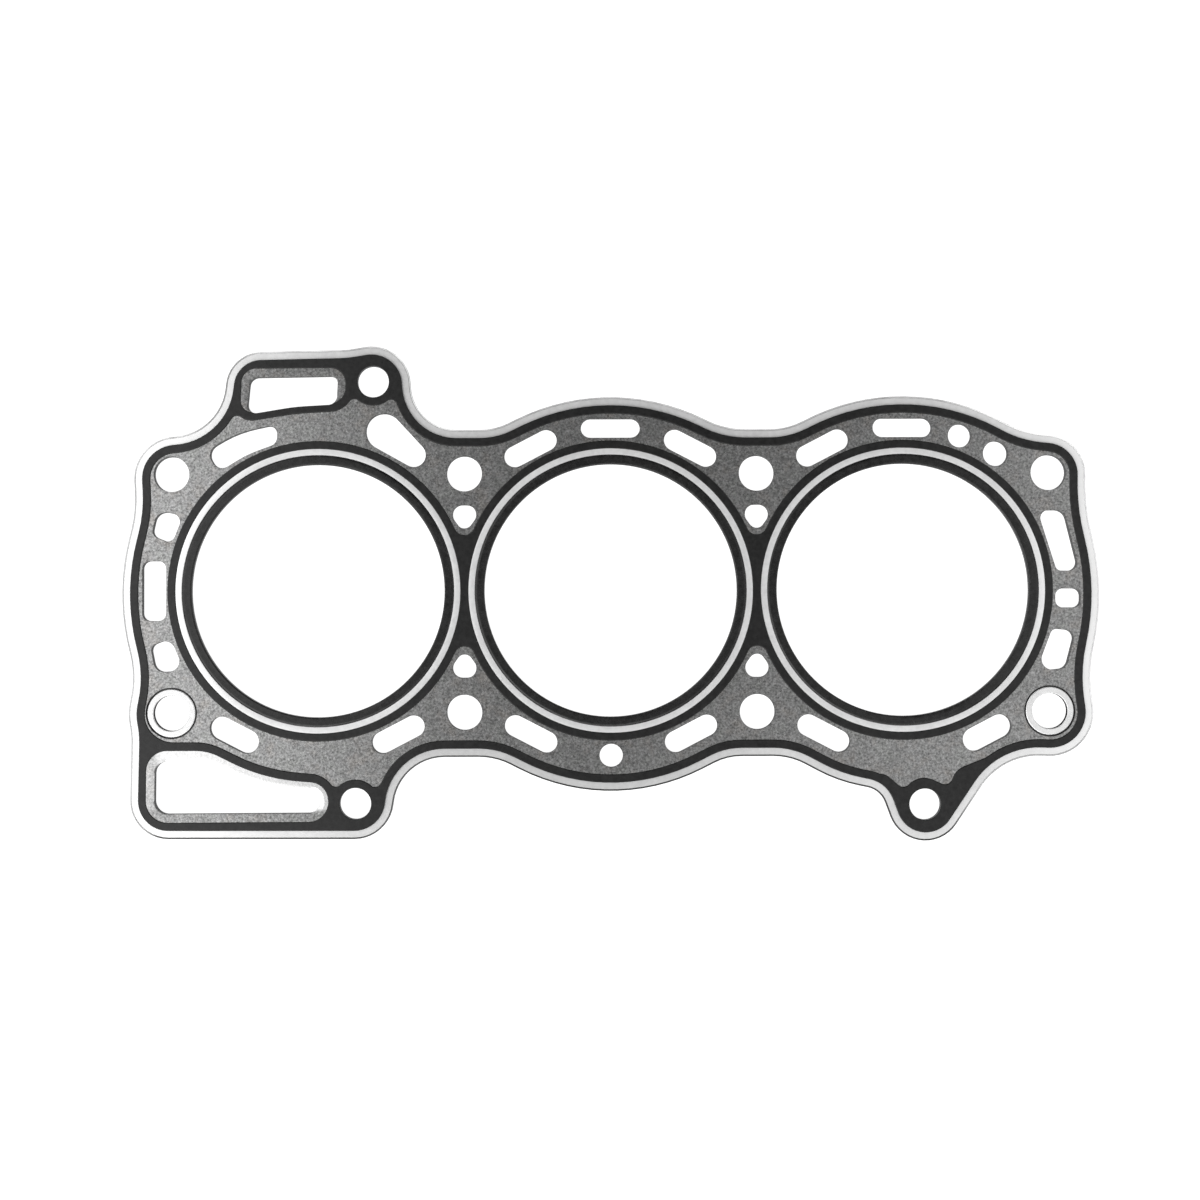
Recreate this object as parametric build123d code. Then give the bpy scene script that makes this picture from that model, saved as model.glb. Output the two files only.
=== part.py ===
"""Cylinder head gasket for an in-line three-cylinder engine, in millimetres.

A perforated steel carrier runs through the whole gasket and shows as a bare border round
its edge.  Graphite facing is bonded to both faces, elastomer beads seal the perimeter, the
two windows and the bores, and each bore has a folded fire ring with a stopper ring outside
it.  The origin lies on the axis of the middle bore, in the plane that the gasket rests on.
+X runs along the row of bores, +Y points to the back edge and +Z is up.
"""

import os
from math import atan2, cos, hypot, pi, radians, sin, tan

from build123d import *

# ---- cylinders -------------------------------------------------------------------------
bore_diameter = 76.0
bore_land = 12.0  # left between neighbouring bores
fire_ring_width = 2.9  # seen from above, from the bore to the stopper ring
nose_bend = 0.45  # bend radius of its edges in the bore
fire_ring_fall = 0.2  # its outer edge lies this far below the crest
stopper_width = 1.9
stopper_crown = 0.12  # rise of the domed top
bore_bead_width = 2.35

# ---- stack through the thickness -------------------------------------------------------
carrier_thickness = 0.45
facing_thickness = 0.55
bead_proud = 0.10  # beads and rings stand this far above the facing

# ---- bands round the edge --------------------------------------------------------------
border_width = 2.5  # bare carrier outside the perimeter bead
lip_width = 0.45  # coined lip along the border's edge
lip_step = 0.08  # how far each face of the lip lies below the carrier's
bead_width = 2.5
rim_width = 2.6  # facing left between a window and the bead round it
rim_slope = 1.5  # how far the rim's bevel runs back from the window
rim_edge = 0.25  # thickness of the rim at the window
drain_brow = 0.65  # extra rim behind the wide end of the drain window

# ---- bolts and dowels ------------------------------------------------------------------
head_bolt_hole = 10.6
back_row_inset = 2.8  # back head bolts, in from the line that touches the bores' backs
front_row_inset = 1.4  # front head bolts, in from the line that touches their fronts
eyelet_wall = 0.55
eyelet_flange = 1.4  # flange beyond the tube
eyelet_bend = 0.35  # bend radius of its edges
eyelet_gap = 0.4  # between the flange and the facing
eyelet_land = 8.75  # bend of the facing round the left eyelet, out to the bead
eyelet_land_offset = 0.65  # centre of that bend, inwards from the eyelet
tab_bolt_hole = 9.4
tab_land = 7.2  # radius of solid bead round a tab bolt

# ---- coolant passages ------------------------------------------------------------------
slot_ring = 4.0  # belt of slots, measured out from the bore bead
slot_belt_y = -0.15  # the belts are centred just in front of the line of bores
slot_bearing = 29.0  # degrees from the bolt side of each bore
slot_lean = 27.5  # degrees from the line of bores
slot_length = 17.0
slot_width = 6.5
slot_outward = 0.25  # sideways from its bearing, away from the bore's centre
end_slot_length = 15.6
end_slot_width = 7.1
end_slot_outward = 1.25
crown_slot_length = 17.8
crown_slot_width = 5.7
back_web_hole = 21.65  # web hole from the line of bores
front_web_hole = 22.1
web_hole_shoulder = 2.9  # radius of its two shoulders
web_hole_spread = 0.65  # shoulders apart from the middle
web_hole_length = 1.6  # from the shoulders' line to the toe's centre
web_hole_toe = 2.5  # radius at the narrow end
oil_passage_head = 5.4  # radius at its wide end
oil_passage_foot = 3.6
small_hole = 7.0
large_hole = 7.5

# ---- softened corners and fits ---------------------------------------------------------
web_tip_radius = 3.1
pocket_radius = 1.9
least_straight = 0.05  # left of an edge between two bends
fold_depth = 1.0  # solid nose of a fire ring, from the bore to the carrier
fold_clearance = 0.10  # carrier edge to the inside of a folded ring

# ---- worked out from the sizes above ---------------------------------------------------
bore_radius = bore_diameter / 2
bore_pitch = bore_diameter + bore_land
bore_x = [bore_pitch * k for k in (-1, 0, 1)]
web_x = [bore_pitch * k for k in (-0.5, 0.5)]
left_x = -1.5 * bore_pitch  # end head bolts
right_x = 1.5 * bore_pitch
back_row = bore_radius - back_row_inset
front_row = bore_radius - front_row_inset
fire_ring_radius = bore_radius + fire_ring_width
stopper_radius = fire_ring_radius + stopper_width
seal_radius = stopper_radius + bore_bead_width
slot_radius = seal_radius + slot_ring
bead_thickness = facing_thickness + bead_proud
carrier_bottom = bead_thickness
carrier_top = carrier_bottom + carrier_thickness
total_thickness = carrier_top + bead_thickness

eyelet_centres = [(left_x, -front_row), (right_x, -front_row)]
eyelet_flange_radius = head_bolt_hole / 2 + eyelet_wall + eyelet_flange
oil_tab = (bore_x[0] + 16.6, seal_radius + 17.9)  # tab bolt beside the oil window
drain_tab = (bore_x[0] + 11.2, -seal_radius - 18.7)  # tab bolt beside the drain window
corner_tab = (bore_x[2] + 6.3, -seal_radius - 19.4)

# ---- outlines: corners as (x, y, bend radius), clockwise seen from above ----------------
def reach(before, corner, after):
    """How far a corner's bend runs back along its two edges."""
    way_in = atan2(corner[1] - before[1], corner[0] - before[0])
    way_out = atan2(after[1] - corner[1], after[0] - corner[0])
    turn = (way_out - way_in + pi) % (2 * pi) - pi
    return corner[2] * abs(tan(turn / 2))


def eased(corners):
    """The same outline with the bends that would overrun the edge between them reduced."""
    count = len(corners)
    reaches = [reach(corners[k - 1], corners[k], corners[(k + 1) % count]) for k in range(count)]
    shares = [1.0] * count
    for k in range(count):
        edge = hypot(corners[k][0] - corners[k - 1][0], corners[k][1] - corners[k - 1][1])
        room = edge - least_straight
        needed = reaches[k] + reaches[k - 1]
        if needed > room:
            shares[k] = min(shares[k], room / needed)
            shares[k - 1] = min(shares[k - 1], room / needed)
    return [(x, y, radius * share) for (x, y, radius), share in zip(corners, shares)]


def grown(corners, amount):
    """The same outline moved outwards by amount, each bend about its own centre."""
    moved = []
    for k, (x, y, radius) in enumerate(corners):
        before = corners[k - 1]
        after = corners[(k + 1) % len(corners)]
        length_in = hypot(x - before[0], y - before[1])
        length_out = hypot(after[0] - x, after[1] - y)
        way_in = ((x - before[0]) / length_in, (y - before[1]) / length_in)
        way_out = ((after[0] - x) / length_out, (after[1] - y) / length_out)
        along = way_in[0] * way_out[0] + way_in[1] * way_out[1]
        turn = way_in[0] * way_out[1] - way_in[1] * way_out[0]
        shift_x = -(way_in[1] + way_out[1]) / (1 + along) * amount
        shift_y = (way_in[0] + way_out[0]) / (1 + along) * amount
        bend = radius + amount if turn < 0 else radius - amount
        moved.append((x + shift_x, y + shift_y, bend))
    return moved


back = back_row + 10.8  # flat of the back edge between two crowns
front = -front_row - 10.9
back_crown_bend = seal_radius + 16.1
front_crown_bend = seal_radius + 13.1
oil_tab_rise = oil_tab[1] - back
drain_tab_drop = front - drain_tab[1]
bead_outline = eased([
    (left_x - 9.5, back_row + 8.3, 10.2),
    (left_x + 16.9, back_row + 10.0, 19.0),
    (left_x + 19.4, oil_tab[1] + 6.5, 8.3),
    (oil_tab[0] - 7.8, oil_tab[1] + 7.2, 30.0),
    (oil_tab[0] + 8.0, oil_tab[1] + 9.8, 9.2),
    (oil_tab[0] + 9.7, back, 0.96 * oil_tab_rise),
    (web_x[0] + 9.7, back, 22.0),
    (0.0, seal_radius + 17.6, back_crown_bend),
    (web_x[1] - 9.8, back, 29.0),
    (web_x[1] + 10.0, back, 24.8),
    (bore_x[2] + 0.9, seal_radius + 18.8, back_crown_bend),
    (right_x - 8.1, back_row + 9.7, 32.7),
    (right_x + 9.3, back_row + 8.1, 9.5),
    (right_x + 8.6, back_row - 10.3, 65.8),
    (bore_x[2] + seal_radius + 13.6, -0.5, 69.0),
    (right_x + 9.2, -front_row + 11.6, 46.6),
    (right_x + 12.7, -front_row - 11.8, 10.8),
    (right_x - 15.4, -front_row - 10.4, 23.3),
    (corner_tab[0] - 2.1, corner_tab[1] - 18.8, 8.7),
    (corner_tab[0] - 11.4, corner_tab[1] + 6.5, 9.7),
    (bore_x[2] - 19.0, -seal_radius - 10.1, 44.0),
    (web_x[1] + 10.5, front, 23.0),
    (web_x[1] - 9.7, front, 20.6),
    (0.0, -seal_radius - 19.8, front_crown_bend),
    (web_x[0] + 9.8, front, 23.6),
    (drain_tab[0] + 10.8, front, 1.1 * drain_tab_drop),
    (drain_tab[0] + 7.8, drain_tab[1] - 8.2, 9.2),
    (left_x - 10.2, drain_tab[1] - 8.0, 9.1),
    (left_x - 9.6, -front_row - 6.3, 30.0),
    (left_x - 10.8, -front_row - 0.1, 14.7),
    (left_x - 8.3, -front_row + 11.3, 33.5),
    (bore_x[0] - seal_radius - 13.5, -1.0, 66.2),
    (left_x - 8.4, back_row - 11.4, 42.0),
])
drain_rim_outline = eased([
    (left_x - 7.5, -front_row - eyelet_land - bead_width, 6.2),
    (left_x + 10.9, -front_row - eyelet_land - bead_width, 15.9),
    (bore_x[0] - 16.6, -seal_radius - 11.0, 55.0),
    (drain_tab[0] - 8.9, drain_tab[1] + 6.1, 5.6),
    (drain_tab[0] - 7.1, drain_tab[1] - 5.4, 6.0),
    (left_x - 7.7, drain_tab[1] - 5.6, 6.7),
])
oil_rim_outline = eased([
    (left_x + 21.1, oil_tab[1] + 4.0, 4.4),
    (oil_tab[0] - 8.2, oil_tab[1] + 4.2, 4.6),
    (oil_tab[0] - 8.4, oil_tab[1] - 6.3, 4.8),
    (oil_tab[0] - 23.7, oil_tab[1] - 7.1, 62.0),
    (left_x + 20.6, oil_tab[1] - 9.8, 3.5),
])
oil_window_outline = eased([
    (left_x + 23.6, oil_tab[1] + 1.3, 2.7),
    (oil_tab[0] - 10.6, oil_tab[1] + 1.7, 2.1),
    (oil_tab[0] - 11.0, oil_tab[1] - 6.8, 2.8),
    (oil_tab[0] - 23.7, oil_tab[1] - 7.5, 62.0),
    (left_x + 22.5, oil_tab[1] - 9.9, 2.5),
])
corner_land_outline = eased([  # solid bead round the corner tab, out past the gasket's edge
    (right_x - 15.4, -front_row - 12.4, 0.0),
    (corner_tab[0] + 9.5, corner_tab[1] + 10.4, 5.5),
    (corner_tab[0] + 7.2, corner_tab[1] + 5.2, 2.4),
    (corner_tab[0] - 1.7, corner_tab[1] + 9.1, 6.3),
    (corner_tab[0] - 6.4, corner_tab[1] + 4.4, 2.2),
    (corner_tab[0] - 11.6, corner_tab[1] + 8.9, 4.0),
    (corner_tab[0] - 20.3, corner_tab[1] + 10.2, 0.0),
    (corner_tab[0] - 20.3, corner_tab[1] - 20.0, 0.0),
    (right_x - 5.0, corner_tab[1] - 20.0, 0.0),
])
kidney_slot_outline = eased([
    (left_x + 10.5, seal_radius - 3.1, 3.3),
    (bore_x[0] - 24.7, seal_radius + 2.5, 35.0),
    (bore_x[0] - 12.2, seal_radius + 5.1, 2.4),
    (bore_x[0] - 12.4, seal_radius - 0.7, 2.7),
    (bore_x[0] - 21.4, seal_radius - 4.0, 32.0),
    (left_x + 14.0, seal_radius - 9.3, 3.2),
])
left_end_holes = [
    [
        (left_x - 4.3, back_row - 10.9, 3.4),
        (left_x + 3.4, back_row - 12.4, 2.5),
        (left_x + 0.1, back_row - 20.9, 2.3),
        (left_x - 6.0, back_row - 18.4, 2.3),
    ],
    [
        (left_x - 8.7, 9.1, 2.3),
        (left_x - 1.6, 9.1, 2.3),
        (left_x - 1.6, -8.9, 2.3),
        (left_x - 8.7, -8.9, 2.3),
    ],
    [
        (left_x - 6.3, -front_row + 20.2, 2.3),
        (left_x - 0.3, -front_row + 22.5, 3.2),
        (left_x + 3.8, -front_row + 12.9, 3.1),
        (left_x - 4.7, -front_row + 12.2, 3.2),
    ],
]
right_end_holes = [
    [
        (right_x - 3.3, back_row - 11.4, 2.4),
        (right_x + 4.7, back_row - 11.4, 3.4),
        (right_x + 9.2, back_row - 29.7, 2.6),
        (right_x + 2.4, back_row - 29.6, 1.8),
    ],
    [
        (right_x + 1.9, 0.2, 2.2),
        (right_x + 9.5, 0.2, 2.2),
        (right_x + 9.5, -5.5, 2.2),
        (right_x + 1.9, -5.5, 2.2),
    ],
    [
        (right_x + 0.9, -front_row + 24.7, 1.8),
        (right_x + 8.0, -front_row + 24.1, 2.6),
        (right_x + 5.0, -front_row + 12.8, 3.0),
        (right_x - 4.0, -front_row + 11.8, 3.2),
    ],
]


def region(corners):
    """A flat region with rounded corners."""
    points = [(x, y) for x, y, radius in corners]
    bends = [radius for x, y, radius in corners]
    return make_face(FilletPolyline(*points, radius=bends, close=True))


def disc(centre, radius):
    return Pos(centre[0], centre[1]) * Circle(radius)


def hull_of(discs):
    """The smooth outline stretched round several discs, each given as (x, y, radius)."""
    rims = [disc((x, y), radius).edge() for x, y, radius in discs]
    return make_hull(rims)


def slab(flat, bottom, thickness):
    return Pos(0, 0, bottom) * extrude(flat, thickness, dir=(0, 0, 1))


def sharp_corners(flat):
    """Corners where two edges of the region meet at more than a few degrees."""
    least_turn = 8
    found = []
    for vertex in flat.vertices():
        place = Vector(vertex)
        ways = []
        for edge in flat.edges():
            for end in (0, 1):
                if (edge @ end - place).length < 1e-4:
                    ways.append((edge % end) * (1 - 2 * end))
        if len(ways) == 2 and 180 - ways[0].get_angle(ways[1]) > least_turn:
            found.append(vertex)
    return found


def softened(flat, radius):
    """Round the sharp corners of a region."""
    return flat.face().fillet_2d(radius, sharp_corners(flat))


def mirrored_down(upper):
    """The same piece on the lower face of the carrier."""
    return Pos(0, 0, total_thickness) * mirror(upper, Plane.XY)


# ---- openings through the whole gasket ---------------------------------------------------
def head_bolt_centres():
    back_holes = [(x, back_row) for x in (left_x, *web_x, right_x)]
    front_holes = [(x, -front_row) for x in web_x]
    return back_holes + front_holes


def diagonal_slot(
    bore, side, way, length=slot_length, width=slot_width, outward=slot_outward
):
    """A slot on the belt round a bore: side is back 1 or front -1, way is right 1 or left -1."""
    across = slot_radius * sin(radians(slot_bearing)) + outward
    away = slot_radius * cos(radians(slot_bearing))
    slot = Rot(0, 0, -side * way * slot_lean) * SlotOverall(length, width)
    return Pos(bore_x[bore] + way * across, slot_belt_y + side * away) * slot


def end_slot(bore, way):
    return diagonal_slot(bore, -1, way, end_slot_length, end_slot_width, end_slot_outward)


def web_hole(x, side):
    """Three-cornered water hole that narrows towards the web between two bores."""
    y = back_web_hole if side > 0 else -front_web_hole
    shoulder_y = y + side * web_hole_length * 0.75
    toe = (x, shoulder_y - side * web_hole_length, web_hole_toe)
    shoulders = [(x + k * web_hole_spread, shoulder_y, web_hole_shoulder) for k in (-1, 1)]
    return hull_of(shoulders + [toe])


def oil_passage():
    """Tapered hole between the oil tab and the first web."""
    head = (oil_tab[0] + 3.2, back_row + 12.8, oil_passage_head)
    foot = (oil_tab[0] + 12.2, back_row + 5.7, oil_passage_foot)
    return hull_of([head, foot])


def crown_slot(bore):
    return Pos(bore_x[bore], seal_radius + 3.7) * SlotOverall(crown_slot_length, crown_slot_width)


def water_holes():
    holes = [region(kidney_slot_outline), oil_passage()]
    holes += [diagonal_slot(1, 1, -1), diagonal_slot(1, 1, 1), diagonal_slot(2, 1, -1)]
    holes += [crown_slot(1), crown_slot(2)]
    holes.append(disc((bore_x[2] + 17.3, seal_radius + 1.2), small_hole / 2))
    holes.append(disc((bore_x[2] + 28.1, seal_radius - 4.2), large_hole / 2))
    holes += [end_slot(0, -1), end_slot(2, 1)]
    holes += [diagonal_slot(0, -1, 1), diagonal_slot(1, -1, -1)]
    holes += [diagonal_slot(1, -1, 1), diagonal_slot(2, -1, -1)]
    holes.append(disc((bore_x[1], -seal_radius - 4.5), small_hole / 2))
    holes += [web_hole(x, side) for x in web_x for side in (1, -1)]
    holes += [region(corners) for corners in left_end_holes + right_end_holes]
    return holes


# ---- regions shared by the layers --------------------------------------------------------
def bores_region():
    """The three bore bead discs run together, with the tips at the webs rounded."""
    discs = [disc((x, 0), seal_radius) for x in bore_x]
    return softened(discs[0] + discs[1] + discs[2], web_tip_radius)


def windows_region():
    """Everything that the facing field leaves free for the windows and the tab bolts."""
    loops = region(grown(drain_rim_outline, bead_width))
    loops += region(grown(oil_rim_outline, bead_width))
    loops += disc(oil_tab, tab_land)
    loops += disc(drain_tab, tab_land)
    loops += region(corner_land_outline)
    bend_centre = (left_x + eyelet_land_offset, -front_row)
    quarter = Rectangle(eyelet_land * 2, eyelet_land * 2, align=Align.MAX)
    loops += Pos(*bend_centre) * quarter - disc(bend_centre, eyelet_land)
    return loops


def field_region():
    """Outer edge of the facing field, inside the perimeter bead."""
    inner = region(grown(bead_outline, -bead_width))
    field = (inner - windows_region()).faces().sort_by(SortBy.AREA)[-1]
    return softened(field, pocket_radius)


# ---- the pieces --------------------------------------------------------------------------
def carrier_plate():
    """Perforated steel sheet with a coined lip all round its edge."""
    flat = region(grown(bead_outline, border_width - lip_width))
    lip = region(grown(bead_outline, border_width)) - flat
    for x in bore_x:
        flat -= disc((x, 0), bore_radius + fold_depth + fold_clearance)
    for centre in head_bolt_centres():
        flat -= disc(centre, head_bolt_hole / 2)
    for centre in eyelet_centres:
        flat -= disc(centre, head_bolt_hole / 2 + eyelet_wall + fold_clearance)
    for centre in (oil_tab, drain_tab, corner_tab):
        flat -= disc(centre, tab_bolt_hole / 2)
    for hole in water_holes():
        flat -= hole
    flat -= region(drain_window_outline)
    flat -= region(oil_window_outline)
    plate = slab(flat, carrier_bottom, carrier_thickness)
    return plate + slab(lip, carrier_bottom + lip_step, carrier_thickness - 2 * lip_step)


def facing():
    flat = field - bores
    for centre in head_bolt_centres():
        flat -= disc(centre, head_bolt_hole / 2)
    for centre in eyelet_centres:
        flat -= disc(centre, eyelet_flange_radius + eyelet_gap)
    for hole in water_holes():
        flat -= hole
    return slab(flat, carrier_top, facing_thickness)


def perimeter_bead():
    flat = region(bead_outline) - field
    flat -= region(drain_rim_outline)
    flat -= region(oil_rim_outline)
    flat -= region(oil_window_outline)
    for tab in (oil_tab, drain_tab, corner_tab):
        flat -= disc(tab, tab_bolt_hole / 2)
    return slab(flat, carrier_top, bead_thickness)


def bore_bead():
    flat = bores
    for x in bore_x:
        flat -= disc((x, 0), stopper_radius)
    return slab(flat, carrier_top, bead_thickness)


def window_rim(outline, window):
    """Facing round a window, bevelled down to a thin edge at the window."""
    rim = slab(region(outline) - region(window), carrier_top, facing_thickness)
    lip = Pos(0, 0, carrier_top + rim_edge) * region(window)
    mouth = Pos(0, 0, carrier_top + facing_thickness) * region(grown(window, rim_slope))
    return rim - loft([lip.face(), mouth.face()], ruled=True)


def fire_ring():
    """Folded ring: a round-edged nose in the bore and two legs that grip the carrier."""
    seat = bore_radius + fold_depth
    toe_height = total_thickness - fire_ring_fall
    lower_crest = (bore_radius + nose_bend, 0)
    upper_crest = (bore_radius + nose_bend, total_thickness)
    wall_top = total_thickness - nose_bend
    section = [
        TangentArc((bore_radius, nose_bend), lower_crest, tangent=(0, -1)),
        Line((bore_radius, nose_bend), (bore_radius, wall_top)),
        TangentArc((bore_radius, wall_top), upper_crest, tangent=(0, 1)),
        TangentArc(upper_crest, (fire_ring_radius, toe_height), tangent=(1, 0)),
        Line((fire_ring_radius, toe_height), (fire_ring_radius, carrier_top)),
        Line((fire_ring_radius, carrier_top), (seat, carrier_top)),
        Line((seat, carrier_top), (seat, carrier_bottom)),
        Line((seat, carrier_bottom), (fire_ring_radius, carrier_bottom)),
        Line((fire_ring_radius, carrier_bottom), (fire_ring_radius, fire_ring_fall)),
        TangentArc(lower_crest, (fire_ring_radius, fire_ring_fall), tangent=(1, 0)),
    ]
    return revolve(Plane.XZ * make_face(section), Axis.Z)


def stopper_ring():
    """Domed ring that seats on the carrier between the fire ring and the bore bead."""
    edge = total_thickness - stopper_crown
    middle = fire_ring_radius + stopper_width / 2
    section = [
        Line((fire_ring_radius, carrier_top), (fire_ring_radius, edge)),
        ThreePointArc((fire_ring_radius, edge), (middle, total_thickness), (stopper_radius, edge)),
        Line((stopper_radius, edge), (stopper_radius, carrier_top)),
        Line((stopper_radius, carrier_top), (fire_ring_radius, carrier_top)),
    ]
    return revolve(Plane.XZ * make_face(section), Axis.Z)


def dowel_eyelet():
    """Steel eyelet: a tube through the carrier with a flat, round-edged flange on each face."""
    inner = head_bolt_hole / 2
    outer = inner + eyelet_wall + eyelet_flange
    tube = inner + eyelet_wall
    foot = bead_proud
    crown = total_thickness - bead_proud
    section = [
        Line((inner, foot + eyelet_bend), (inner, crown - eyelet_bend)),
        TangentArc((inner, crown - eyelet_bend), (inner + eyelet_bend, crown), tangent=(0, 1)),
        Line((inner + eyelet_bend, crown), (outer - eyelet_bend, crown)),
        TangentArc((outer - eyelet_bend, crown), (outer, crown - eyelet_bend), tangent=(1, 0)),
        Line((outer, crown - eyelet_bend), (outer, carrier_top)),
        Line((outer, carrier_top), (tube, carrier_top)),
        Line((tube, carrier_top), (tube, carrier_bottom)),
        Line((tube, carrier_bottom), (outer, carrier_bottom)),
        Line((outer, carrier_bottom), (outer, foot + eyelet_bend)),
        TangentArc((outer - eyelet_bend, foot), (outer, foot + eyelet_bend), tangent=(1, 0)),
        Line((outer - eyelet_bend, foot), (inner + eyelet_bend, foot)),
        TangentArc((inner, foot + eyelet_bend), (inner + eyelet_bend, foot), tangent=(0, -1)),
    ]
    return revolve(Plane.XZ * make_face(section), Axis.Z)


brows = [drain_brow, drain_brow, 0, 0, 0, 0]
drain_mouth = [(x, y - brow, bend) for (x, y, bend), brow in zip(drain_rim_outline, brows)]
drain_window_outline = grown(eased(drain_mouth), -rim_width)
bores = bores_region()
field = field_region()

pieces = {"carrier_plate": carrier_plate()}
upper_pieces = {
    "facing": facing(),
    "perimeter_bead": perimeter_bead(),
    "bore_bead": bore_bead(),
    "drain_window_rim": window_rim(drain_rim_outline, drain_window_outline),
    "oil_window_rim": window_rim(oil_rim_outline, oil_window_outline),
}
for number, x in enumerate(bore_x, start=1):
    pieces[f"fire_ring_{number}"] = Pos(x, 0) * fire_ring()
    upper_pieces[f"stopper_ring_{number}"] = Pos(x, 0) * stopper_ring()
for side, (x, y) in zip(("left", "right"), eyelet_centres):
    pieces[f"dowel_eyelet_{side}"] = Pos(x, y) * dowel_eyelet()
for name, piece in upper_pieces.items():
    pieces[f"upper_{name}"] = piece
    pieces[f"lower_{name}"] = mirrored_down(piece)

os.makedirs("parts", exist_ok=True)
for name, piece in pieces.items():
    export_step(piece, f"parts/{name}.step")
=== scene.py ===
"""Looks of the cylinder head gasket.

Bright steel border, grained graphite facing, black sealing beads and ringed bores, on a
plain white table.
"""

from math import hypot, radians

import bmesh
import bpy
from mathutils import Euler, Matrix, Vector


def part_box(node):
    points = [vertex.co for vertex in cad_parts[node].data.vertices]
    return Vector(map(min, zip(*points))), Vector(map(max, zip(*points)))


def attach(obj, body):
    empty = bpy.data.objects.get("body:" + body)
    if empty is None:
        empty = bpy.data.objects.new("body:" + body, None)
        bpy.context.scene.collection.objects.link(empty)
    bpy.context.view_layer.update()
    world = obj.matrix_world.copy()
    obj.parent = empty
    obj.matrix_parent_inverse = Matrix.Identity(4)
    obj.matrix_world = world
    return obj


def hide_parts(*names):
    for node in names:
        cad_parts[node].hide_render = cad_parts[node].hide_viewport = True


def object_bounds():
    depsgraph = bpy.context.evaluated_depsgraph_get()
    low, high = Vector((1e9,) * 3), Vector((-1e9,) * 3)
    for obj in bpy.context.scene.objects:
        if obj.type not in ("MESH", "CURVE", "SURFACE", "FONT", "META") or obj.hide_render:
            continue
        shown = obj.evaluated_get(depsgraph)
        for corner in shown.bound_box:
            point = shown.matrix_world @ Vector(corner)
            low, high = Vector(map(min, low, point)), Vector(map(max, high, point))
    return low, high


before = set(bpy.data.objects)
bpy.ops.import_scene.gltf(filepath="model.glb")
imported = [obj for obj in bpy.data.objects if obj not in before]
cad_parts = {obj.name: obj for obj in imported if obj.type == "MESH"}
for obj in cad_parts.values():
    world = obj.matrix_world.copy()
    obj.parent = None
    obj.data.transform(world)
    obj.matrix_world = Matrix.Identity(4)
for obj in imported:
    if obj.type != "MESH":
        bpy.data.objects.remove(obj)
cad_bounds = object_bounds()
middle_height = (cad_bounds[0][2] + cad_bounds[1][2]) / 2

MM = 0.001

# ---- the camera ----------------------------------------------------------------------------
camera_place = (-0.004214, -0.006780, 0.352532)
camera_turn = (0.633, -0.159, -0.156)  # degrees
camera_lens = 35.0
sensor_width = 36.0

# ---- the light -----------------------------------------------------------------------------
# A glow is where it starts and where it is full, as cosines towards its aim, and how strong.
left_aim = (-0.985, -0.15, 0)
left_glow = (0.15, 0.35, 1.62)
right_aim = (0.85, -0.50, 0)
right_glow = (0.04, 0.376, 0.80)
front_aim = (-0.35, -0.94, 0)
front_glow = (0.40, 0.58, 1.86)
side_aims = ((1, 0, 0), (-1, 0, 0))
side_glow = (0.60, 0.90, 0.4)
straight_up = (0, 0, 1)
horizon_level = 0.1  # share of the light that is left at the horizon
full_height = 0.85  # rise at which none is lost
overhead_level = 0.2

# ---- the floor -----------------------------------------------------------------------------
floor_size = 6.0
floor_glow = 0.9  # of white, before the light that falls on the floor
floor_tone = 0.4  # as the camera sees it, so that the gasket's shadow shows
floor_bounce = 0.05  # as the gasket sees it, so that little light is thrown back
floor_roughness = 0.9

# ---- sizes of the finish, in millimetres -----------------------------------------------------
sheared_edge = 0.04
moulded_edge = 0.22
facing_edge = 0.10
fold_edge = 0.06
eyelet_edge = 0.20
grain_size = 0.62
facing_grain_depth = 0.012
groove_depth = 0.06  # coined groove inside the border's edge
groove_lip = 0.08  # how far the edge rises beside it
eyelet_shade_radius = 8.3  # painted shade that darkens the carrier round each eyelet, where it shows in the gap
eyelet_shade_fade = 0.2

# ---- how the shapes are told apart and changed, in millimetres --------------------------------
upright = 0.001  # an edge that leans less than this stands straight up
lip_wall = (0.2, 0.4)  # least and most height of the CAD lip's outer wall
lip_step = (0.02, 0.15)  # and of the step down to it
same_level = 0.05  # heights closer than this are one level
dome_rise = 0.15  # the most that a stopper ring's dome rises
toe_reach = 1.2  # the outer stretch of a fire ring, where its top falls
toe_fall = 0.25  # the most that it falls there
rim_left_stretch = (7.0, 3.0)  # from a rim's left end, where its raise starts and is full
rim_front_stretch = (4.0, 1.0)  # and from its front
rim_raise = 0.9  # share of a rim's bevel that is taken out
dome_share = 0.25  # of the CAD's dome or fall that a stopper ring or fire ring keeps

# ---- how every piece is dressed --------------------------------------------------------------
weld_distance = 1e-6  # metres
wall_slope = 0.5  # a face whose normal rises less than this is a wall
flat_angle = 0.1  # degrees
corner_angle = 60  # degrees
edge_segments = 3
flat_weight = 100  # how much more a large face sets the normals round it
face_finish, wall_finish, lip_finish = 0, 1, 2  # places in a piece's list of finishes

# ---- where a finish changes, in metres: where the change starts and where it is complete --------
# painted light: the steel grows brighter towards the left and right ends
left_painted_light = (-0.105, -0.14)  # along X
right_painted_light = (0.115, 0.145)
# painted shade along the front of the border's lip, and painted light at its left and right
shaded_front = (-0.045, -0.052)  # along Y, on the lip
lit_left = (-0.135, -0.141)  # along X, on the lip
lit_right = (0.10, 0.115)
# painted light on the back and ends of the drain rim
lit_back = (-0.0668, -0.0648)  # along Y, on the drain rim
light_fade_left = (-0.1375, -0.1345)  # along X, on the drain rim


# ---- small builders ------------------------------------------------------------------------
def material(name):
    """A fresh node material: returns it with its tree and its surface shader."""
    made = bpy.data.materials.new(name)
    made.use_nodes = True
    tree = made.node_tree
    shader = tree.nodes["Principled BSDF"]
    return made, tree, shader


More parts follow.
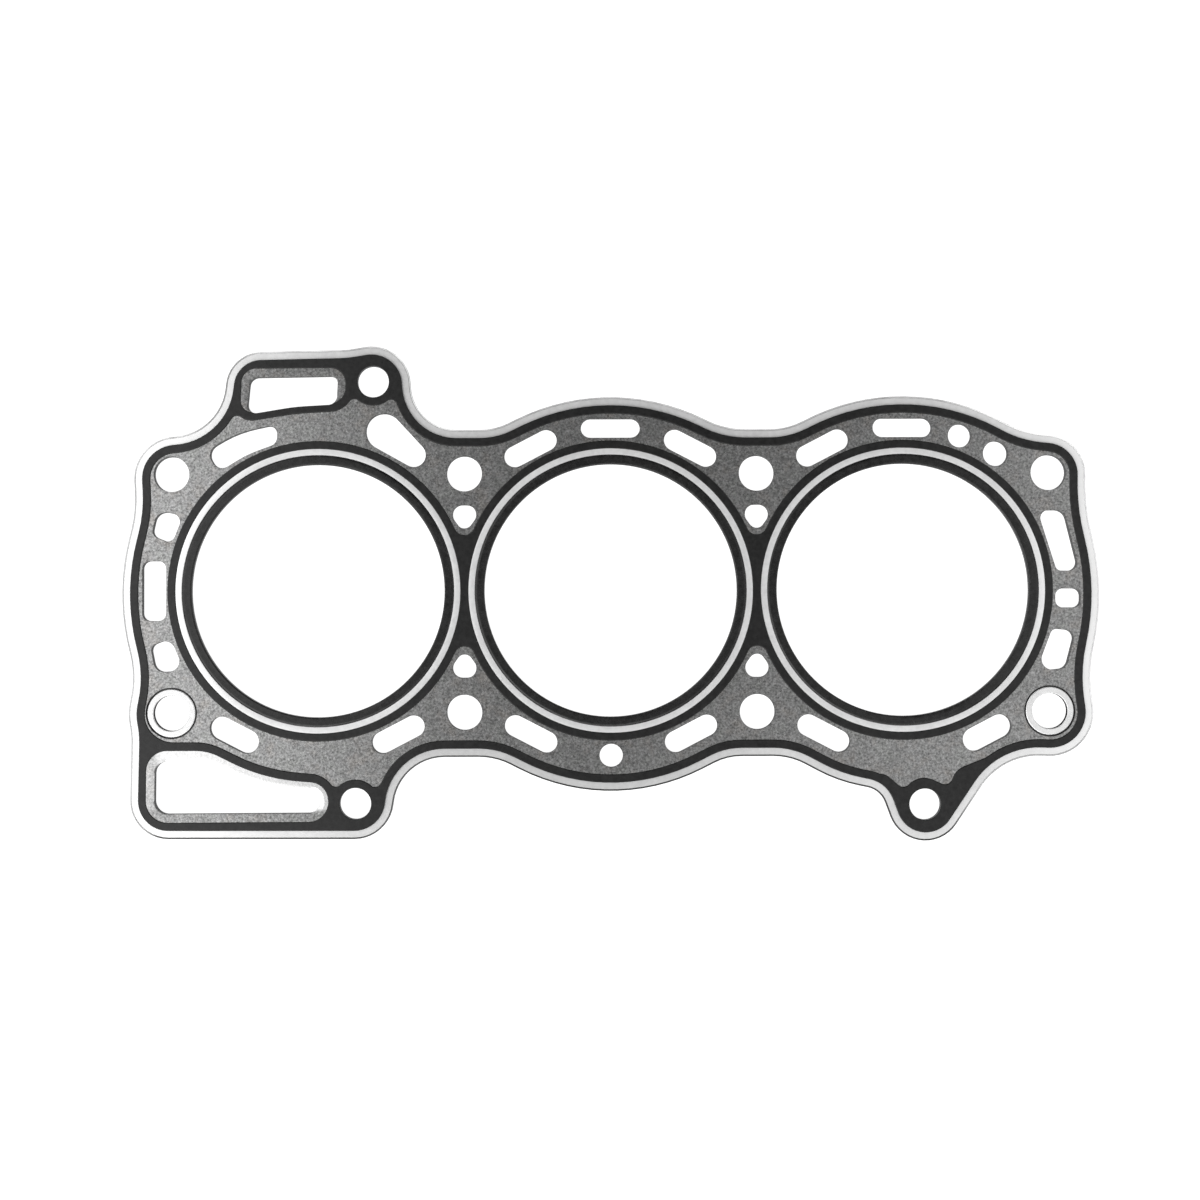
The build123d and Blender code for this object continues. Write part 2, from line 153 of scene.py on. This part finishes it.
def node(tree, kind, **values):
    """A shader node with its settings, then its input values, set by name."""
    made = tree.nodes.new(kind)
    for name, value in values.items():
        if hasattr(made, name):
            setattr(made, name, value)
        else:
            made.inputs[name.replace("_", " ")].default_value = value
    return made


def places(tree):
    """Object coordinates."""
    return node(tree, "ShaderNodeTexCoord").outputs["Object"]


def along(tree, axis):
    """Object coordinate along one axis."""
    split = node(tree, "ShaderNodeSeparateXYZ")
    tree.links.new(places(tree), split.inputs[0])
    return split.outputs[axis]


def grey(level):
    return (level, level, level)


def opaque_grey(level):
    return (level, level, level, 1.0)


white = opaque_grey(1.0)


def noise(tree, size_mm, detail, roughness=0.6):
    """Noise whose blobs are about size_mm across."""
    scale = 1 / (size_mm * MM)
    made = node(tree, "ShaderNodeTexNoise", Scale=scale, Detail=detail, Roughness=roughness)
    tree.links.new(places(tree), made.inputs["Vector"])
    return made.outputs["Fac"]


def ramp(tree, source, stops):
    """A colour ramp from a value to greys or colours, each stop a place and a colour."""
    made = node(tree, "ShaderNodeValToRGB")
    spots = made.color_ramp.elements
    while len(spots) < len(stops):
        spots.new(0.5)
    for spot, (place, colour) in zip(spots, stops):
        spot.position = place
        spot.color = (*colour, 1.0)
    tree.links.new(source, made.inputs["Fac"])
    return made.outputs["Color"]


def clouded(tree, size_mm, detail, dark, light):
    """Grey that drifts between two levels in blobs of about size_mm."""
    return ramp(tree, noise(tree, size_mm, detail), [(0.3, grey(dark)), (0.7, grey(light))])


def bump(tree, height, depth_mm):
    """A surface normal that follows a height of at most depth_mm."""
    made = node(tree, "ShaderNodeBump", Strength=1.0, Distance=depth_mm * MM)
    tree.links.new(height, made.inputs["Height"])
    return made.outputs["Normal"]


def fine_grain(tree, shader, size_mm, smoothest, roughest, depth_mm):
    """Give a shader a fine grain, in its roughness and its relief."""
    fine = noise(tree, size_mm, 2.0)
    rough = ramp(tree, fine, [(0.2, grey(smoothest)), (0.8, grey(roughest))])
    tree.links.new(rough, shader.inputs["Roughness"])
    tree.links.new(bump(tree, fine, depth_mm), shader.inputs["Normal"])


def combined(tree, operation, first, second):
    """Two values put together by one operation; either may be a number or a socket."""
    made = node(tree, "ShaderNodeMath", operation=operation)
    for socket, value in zip(made.inputs, (first, second)):
        if isinstance(value, float):
            socket.default_value = value
        else:
            tree.links.new(value, socket)
    return made.outputs[0]


def smooth_step(tree, value, start, end, low=0.0, high=1.0):
    """Value carried smoothly from low to high while it goes from start to end."""
    made = node(tree, "ShaderNodeMapRange", interpolation_type="SMOOTHSTEP")
    tree.links.new(value, made.inputs["Value"])
    limits = {"From Min": start, "From Max": end, "To Min": low, "To Max": high}
    for name, level in limits.items():
        made.inputs[name].default_value = level
    return made.outputs["Result"]


def mixed(tree, share, first, second, mode="MIX"):
    """Two colours blended by share; each of the three may be a value or a socket."""
    made = node(tree, "ShaderNodeMix", data_type="RGBA", blend_type=mode)
    share_socket, first_socket, second_socket = made.inputs[0], made.inputs[6], made.inputs[7]
    for socket, value in ((share_socket, share), (first_socket, first), (second_socket, second)):
        if isinstance(value, bpy.types.NodeSocket):
            tree.links.new(value, socket)
        else:
            socket.default_value = value
    return made.outputs[2]


def tint_over(made, share, tone):
    """Blend a plain grey over a finished material's colour."""
    tree = made.node_tree
    colour = tree.nodes["Principled BSDF"].inputs["Base Color"]
    before = colour.links[0].from_socket
    tree.links.new(mixed(tree, share, before, opaque_grey(tone)), colour)


# ---- materials ---------------------------------------------------------------------------
def bright_steel(name, roughness, tone, coarse_mm):
    """Tinned steel: bright and milky, with faint clouding and a fine rolled grain."""
    made, tree, shader = material(name)
    shader.inputs["Metallic"].default_value = 0.46
    clouds = clouded(tree, coarse_mm, 2.0, dark=tone * 0.92, light=tone)
    smudges = clouded(tree, 1.4, 3.0, dark=0.88, light=1.0)
    tree.links.new(mixed(tree, 1.0, clouds, smudges, "MULTIPLY"), shader.inputs["Base Color"])
    fine_grain(tree, shader, 0.5, roughness * 0.85, roughness * 1.15, depth_mm=0.004)
    return made


def paint_light_at_ends(made, painted_light_level):
    """Brighten a steel towards both ends of the gasket: painted light where the lamps at the left
    and right fall.
    """
    tree = made.node_tree
    for start, full in (left_painted_light, right_painted_light):
        tint_over(made, smooth_step(tree, along(tree, "X"), start, full, high=painted_light_level), 0.98)


def shade_round_eyelets(made):
    """Painted shade on the carrier where it shows in the gap round the eyelets."""
    tree = made.node_tree
    for eyelet in ("dowel_eyelet_left", "dowel_eyelet_right"):
        lowest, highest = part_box(eyelet)
        away = node(tree, "ShaderNodeVectorMath", operation="DISTANCE")
        away.inputs[1].default_value = [(low + high) / 2 for low, high in zip(lowest, highest)]
        tree.links.new(places(tree), away.inputs[0])
        inner, outer = eyelet_shade_radius * MM, (eyelet_shade_radius + eyelet_shade_fade) * MM
        tint_over(made, smooth_step(tree, away.outputs["Value"], inner, outer, 1.0, 0.0), 0.02)


def coined_steel():
    """The lip's steel: darker, with painted shade along the front and painted light at the left
    and at the right.
    """
    made, tree, shader = material("coined_lip_steel")
    shader.inputs["Metallic"].default_value = 0.8
    tint = clouded(tree, 5.0, 3.0, dark=0.38, light=0.56)
    for axis, reach, tone in (
        ("Y", shaded_front, 0.08),
        ("X", lit_left, 0.90),
        ("X", lit_right, 0.95),
    ):
        share = smooth_step(tree, along(tree, axis), *reach)
        tint = mixed(tree, share, tint, opaque_grey(tone))
    tree.links.new(tint, shader.inputs["Base Color"])
    fine_grain(tree, shader, 0.4, 0.26, 0.40, depth_mm=0.006)
    return made


def graphite(name, tone, roughness, grain_depth=facing_grain_depth, sheen=0.9):
    """Grained graphite facing, with lighter and darker flakes and a metallic sheen."""
    made, tree, shader = material(name)
    shader.inputs["Metallic"].default_value = sheen
    flakes = noise(tree, grain_size, 2.5, 0.7)
    tints = [(0.30, 0.12), (0.45, 0.25), (0.55, 0.33), (0.72, 0.50)]
    tint = ramp(tree, flakes, [(place, grey(level * tone)) for place, level in tints])
    casts = [(0.32, (0.99, 1.0, 0.98)), (0.50, (1.0, 1.0, 1.0)), (0.70, (1.0, 0.965, 0.93))]
    warm = ramp(tree, noise(tree, 4.5, 2.0), casts)
    tree.links.new(mixed(tree, 1.0, tint, warm, "MULTIPLY"), shader.inputs["Base Color"])
    rubbed = clouded(tree, 2.2, 2.0, dark=roughness * 0.9, light=roughness * 1.15)
    tree.links.new(rubbed, shader.inputs["Roughness"])
    tree.links.new(bump(tree, flakes, grain_depth), shader.inputs["Normal"])
    return made


def drain_rim_graphite():
    """The drain rim: grained along the front, and round the rest a paler, smoother tone that is
    painted light, less of it at the far left.
    """
    made = graphite("drain_rim_painted_light", 0.9, 0.20, grain_depth=0.004)
    tree = made.node_tree
    colour = tree.nodes["Principled BSDF"].inputs["Base Color"]
    grained = colour.links[0].from_socket
    painted_light_tone = clouded(tree, grain_size, 2.0, dark=0.56, light=0.72)
    share = smooth_step(tree, along(tree, "Y"), *lit_back)
    less_at_left = smooth_step(tree, along(tree, "X"), *light_fade_left, low=0.35)
    share = combined(tree, "MULTIPLY", share, less_at_left)
    tree.links.new(mixed(tree, share, grained, painted_light_tone), colour)
    return made


def black_seal(name, tone, roughness, gloss=0.39):
    """Black moulded elastomer or coating with a faint satin grain."""
    made, tree, shader = material(name)
    shader.inputs["Specular IOR Level"].default_value = gloss
    dust = clouded(tree, 1.2, 3.0, dark=tone * 0.3, light=tone * 2.0)
    tree.links.new(dust, shader.inputs["Base Color"])
    fine_grain(tree, shader, 0.5, roughness * 0.8, roughness * 1.2, depth_mm=0.012)
    return made


# ---- reshaping, on copies of the CAD meshes ------------------------------------------------
def off_middle(height):
    """How far a height lies from the middle of the stack."""
    return abs(height - middle_height)


def outward(vert):
    """Up on the upper half of the stack, down on the lower half."""
    return 1 if vert.co.z > middle_height else -1


def is_wall(face):
    return abs(face.normal.z) < wall_slope


def groove_border(shape):
    """Slant the lip of the border on both faces, from a groove up to the edge."""
    rims, floors = set(), set()
    for edge in shape.edges:
        low, high = sorted(edge.verts, key=lambda vert: vert.co.z)
        height = (high.co.z - low.co.z) / MM
        if (high.co.xy - low.co.xy).length > upright * MM:
            continue
        if lip_wall[0] < height < lip_wall[1]:
            rims.update((low, high))
        elif lip_step[0] < height < lip_step[1]:
            floors.add(low if outward(low) > 0 else high)
    for face in shape.faces:
        if not is_wall(face) and all(vert in rims or vert in floors for vert in face.verts):
            face.material_index = lip_finish
    for vert in rims:
        vert.co.z += groove_lip * MM * outward(vert)
    for vert in floors:
        vert.co.z -= groove_depth * MM * outward(vert)


def eased(way, start, full):
    """From 0 to 1, smoothly, as way goes from start to full."""
    share = min(max((way - start) / (full - start), 0.0), 1.0)
    return share * share * (3 - 2 * share)


def level_rim(shape, everywhere):
    """Raise the thin edge of a window rim, all round or only at its left end and front."""
    heights = [vert.co.z for vert in shape.verts]
    outer = max(heights, key=off_middle)
    inner = min(heights, key=off_middle)
    edge = [
        vert for vert in shape.verts
        if min(abs(vert.co.z - outer), abs(vert.co.z - inner)) > same_level * MM
    ]
    left = min(vert.co.x for vert in edge)
    front = min(vert.co.y for vert in edge)
    for vert in edge:
        at_left = eased((vert.co.x - left) / MM, *rim_left_stretch)
        at_front = eased((vert.co.y - front) / MM, *rim_front_stretch)
        share = 1.0 if everywhere else max(at_left, at_front)
        vert.co.z += (outer - vert.co.z) * rim_raise * share


def level_all_round(shape):
    level_rim(shape, True)


def level_left_and_front(shape):
    level_rim(shape, False)


def flatten(vert, crest):
    """Bring a point of a dome or a slope nearer to the height of its crest."""
    vert.co.z = crest + (vert.co.z - crest) * dome_share


def level_dome(shape):
    """Flatten the dome of a stopper ring."""
    crest = max((vert.co.z for vert in shape.verts), key=off_middle)
    for vert in shape.verts:
        if abs(vert.co.z - crest) < dome_rise * MM:
            flatten(vert, crest)


def level_toes(shape):
    """Flatten the fall of a fire ring from its crests to its outer toes."""
    heights = [vert.co.z for vert in shape.verts]
    across = [vert.co.x for vert in shape.verts]
    lowest, highest = min(heights), max(heights)
    centre = (min(across) + max(across)) / 2
    toe_radius = (max(across) - min(across)) / 2 - toe_reach * MM
    for vert in shape.verts:
        crest = highest if outward(vert) > 0 else lowest
        at_toe = hypot(vert.co.x - centre, vert.co.y) > toe_radius
        if at_toe and abs(vert.co.z - crest) < toe_fall * MM:
            flatten(vert, crest)


# ---- pieces ------------------------------------------------------------------------------
def reshaped_copy(source, reshape):
    """A merged copy of a CAD node's mesh, with a finish for its faces and one for its walls."""
    shape = bmesh.new()
    shape.from_mesh(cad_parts[source].data)
    bmesh.ops.remove_doubles(shape, verts=shape.verts, dist=weld_distance)
    for face in shape.faces:
        face.material_index = wall_finish if is_wall(face) else face_finish
    if reshape:
        reshape(shape)
    bmesh.ops.dissolve_limit(
        shape, angle_limit=radians(flat_angle), verts=shape.verts, edges=shape.edges
    )
    mesh = bpy.data.meshes.new(source + "_look")
    shape.to_mesh(mesh)
    shape.free()
    for face in mesh.polygons:
        face.use_smooth = True
    return mesh


def round_edges(piece, edge_mm):
    """Round the corners between faces and walls, with the walls' finish on the bend."""
    rounding = piece.modifiers.new("rounded_edges", "BEVEL")
    rounding.width = edge_mm * MM
    rounding.segments = edge_segments
    rounding.limit_method = "ANGLE"
    rounding.angle_limit = radians(corner_angle)
    rounding.use_clamp_overlap = False
    rounding.material = wall_finish


def dressed(source, edge_mm, finishes, reshape=None):
    """The CAD piece with rounded edges, unless edge_mm is nothing.

    The finishes are that of its faces, that of its walls and rounded edges, and any third that
    reshape gives to faces.
    """
    mesh = reshaped_copy(source, reshape)
    for finish in finishes:
        mesh.materials.append(finish)
    piece = bpy.data.objects.new(source + "_look", mesh)
    bpy.context.collection.objects.link(piece)
    if edge_mm:
        round_edges(piece, edge_mm)
    flats = piece.modifiers.new("flat_faces", "WEIGHTED_NORMAL")
    flats.keep_sharp = True
    flats.weight = flat_weight
    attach(piece, "root")
    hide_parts(source)


steel = bright_steel("carrier_steel", roughness=0.22, tone=0.81, coarse_mm=14.0)
# painted light at both ends of the carrier steel
paint_light_at_ends(steel, painted_light_level=0.5)
# painted shade round the eyelets
shade_round_eyelets(steel)
# painted shade: the carrier's walls and rounded edges in dark steel
carrier_wall_shade = bright_steel("carrier_wall_painted_shade", roughness=0.5, tone=0.10, coarse_mm=3.0)
lip_steel = coined_steel()
ring_steel = bright_steel("stopper_steel", roughness=0.33, tone=0.80, coarse_mm=9.0)
# painted light at both ends of the stopper rings' steel
paint_light_at_ends(ring_steel, painted_light_level=0.9)
# painted shade: the stopper rings' walls and rounded edges in darker steel
ring_edge_shade = bright_steel("stopper_edge_painted_shade", roughness=0.40, tone=0.30, coarse_mm=3.0)
eyelet_steel = bright_steel("eyelet_steel", roughness=0.28, tone=0.84, coarse_mm=5.0)
# painted shade: the eyelet tubes' walls in dull black
eyelet_tube_painted_shade = black_seal("eyelet_tube_painted_shade", tone=0.02, roughness=0.6, gloss=0.05)
facing_finish = graphite("graphite_facing", tone=1.0, roughness=0.26)
# darker, duller graphite on the walls and rounded edges of the facings and rims
dark_wall_finish = graphite("dark_facing_wall", tone=0.30, roughness=0.6, sheen=0.2)
# painted light round the back and ends of the drain rim
drain_rim_finish = drain_rim_graphite()
# painted shade: a darker copy of the facing graphite on the oil rim
oil_rim_finish = graphite("oil_rim_painted_shade", tone=0.78, roughness=0.26)
seal_finish = black_seal("sealing_bead", tone=0.006, roughness=0.32)
ring_coat = black_seal("fire_ring_coat", tone=0.008, roughness=0.28)

carrier_finishes = (steel, carrier_wall_shade, lip_steel)
facing_finishes = (facing_finish, dark_wall_finish)
drain_rim_finishes = (drain_rim_finish, dark_wall_finish)
oil_rim_finishes = (oil_rim_finish, dark_wall_finish)
seal_finishes = (seal_finish, seal_finish)
stopper_finishes = (ring_steel, ring_edge_shade)
fire_ring_finishes = (ring_coat, ring_coat)
eyelet_finishes = (eyelet_steel, eyelet_tube_painted_shade)

dressed("carrier_plate", sheared_edge, carrier_finishes, groove_border)
for side in ("upper", "lower"):
    dressed(f"{side}_facing", facing_edge, facing_finishes)
    dressed(f"{side}_perimeter_bead", moulded_edge, seal_finishes)
    dressed(f"{side}_bore_bead", moulded_edge, seal_finishes)
    rim = f"{side}_drain_window_rim"
    dressed(rim, fold_edge, drain_rim_finishes, level_left_and_front)
    rim = f"{side}_oil_window_rim"
    dressed(rim, fold_edge, oil_rim_finishes, level_all_round)
    for number in (1, 2, 3):
        ring = f"{side}_stopper_ring_{number}"
        dressed(ring, fold_edge, stopper_finishes, level_dome)
for number in (1, 2, 3):
    dressed(f"fire_ring_{number}", 0, fire_ring_finishes, level_toes)
for side in ("left", "right"):
    dressed(f"dowel_eyelet_{side}", eyelet_edge, eyelet_finishes)


# ---- floor, light and camera ---------------------------------------------------------------
def white_floor():
    """Plain floor: seen and mirrored as white, with a faint shadow."""
    bpy.ops.mesh.primitive_plane_add(size=floor_size, location=(0, 0, cad_bounds[0][2]))
    floor = bpy.context.object
    floor.name = "floor"
    made, tree, shader = material("white_floor")
    shader.inputs["Roughness"].default_value = floor_roughness
    shader.inputs["Specular IOR Level"].default_value = 0.0
    shader.inputs["Emission Color"].default_value = white
    path = node(tree, "ShaderNodeLightPath").outputs
    seen = path["Is Camera Ray"]
    mirrored = combined(tree, "MAXIMUM", path["Is Glossy Ray"], path["Is Transmission Ray"])
    glow = combined(tree, "MAXIMUM", combined(tree, "MULTIPLY", seen, floor_glow), mirrored)
    tree.links.new(glow, shader.inputs["Emission Strength"])
    tone = mixed(tree, seen, opaque_grey(floor_bounce), opaque_grey(floor_tone))
    tree.links.new(tone, shader.inputs["Base Color"])
    floor.data.materials.append(made)


def glow_towards(tree, way, aim, start, full, level):
    """Light that grows from nothing to level as a direction turns towards aim."""
    dot = node(tree, "ShaderNodeVectorMath", operation="DOT_PRODUCT")
    dot.inputs[1].default_value = aim
    tree.links.new(way, dot.inputs[0])
    return smooth_step(tree, dot.outputs["Value"], start, full, high=level)


def studio_light(tree):
    """Soft light: bright at the left and front left, dim overhead and at the horizon."""
    way = node(tree, "ShaderNodeTexCoord").outputs["Generated"]
    total = overhead_level
    for aim, glow in ((left_aim, left_glow), (right_aim, right_glow), (front_aim, front_glow)):
        total = combined(tree, "ADD", total, glow_towards(tree, way, aim, *glow))
    height = glow_towards(tree, way, straight_up, 0.0, full_height, 1.0 - horizon_level)
    height = combined(tree, "ADD", height, horizon_level)
    total = combined(tree, "MULTIPLY", total, height)
    for aim in side_aims:
        total = combined(tree, "ADD", total, glow_towards(tree, way, aim, *side_glow))
    return total


def sky():
    """Surroundings that light the gasket softly and are seen as plain white."""
    world = bpy.data.worlds.new("studio")
    bpy.context.scene.world = world
    world.use_nodes = True
    tree = world.node_tree
    back = tree.nodes["Background"]
    back.inputs["Color"].default_value = white
    tree.links.new(studio_light(tree), back.inputs["Strength"])
    plain = node(tree, "ShaderNodeBackground", Strength=1.0)
    plain.inputs["Color"].default_value = white
    choice = node(tree, "ShaderNodeMixShader")
    seen = node(tree, "ShaderNodeLightPath").outputs["Is Camera Ray"]
    tree.links.new(seen, choice.inputs[0])
    tree.links.new(back.outputs[0], choice.inputs[1])
    tree.links.new(plain.outputs[0], choice.inputs[2])
    tree.links.new(choice.outputs[0], tree.nodes["World Output"].inputs["Surface"])


def set_camera():
    data = bpy.data.cameras.new("camera")
    data.lens = camera_lens
    data.sensor_width = sensor_width
    camera = bpy.data.objects.new("camera", data)
    bpy.context.collection.objects.link(camera)
    camera.location = camera_place
    camera.rotation_euler = Euler([radians(angle) for angle in camera_turn])
    bpy.context.scene.camera = camera


white_floor()
sky()
set_camera()
bpy.context.scene.view_settings.view_transform = "Standard"
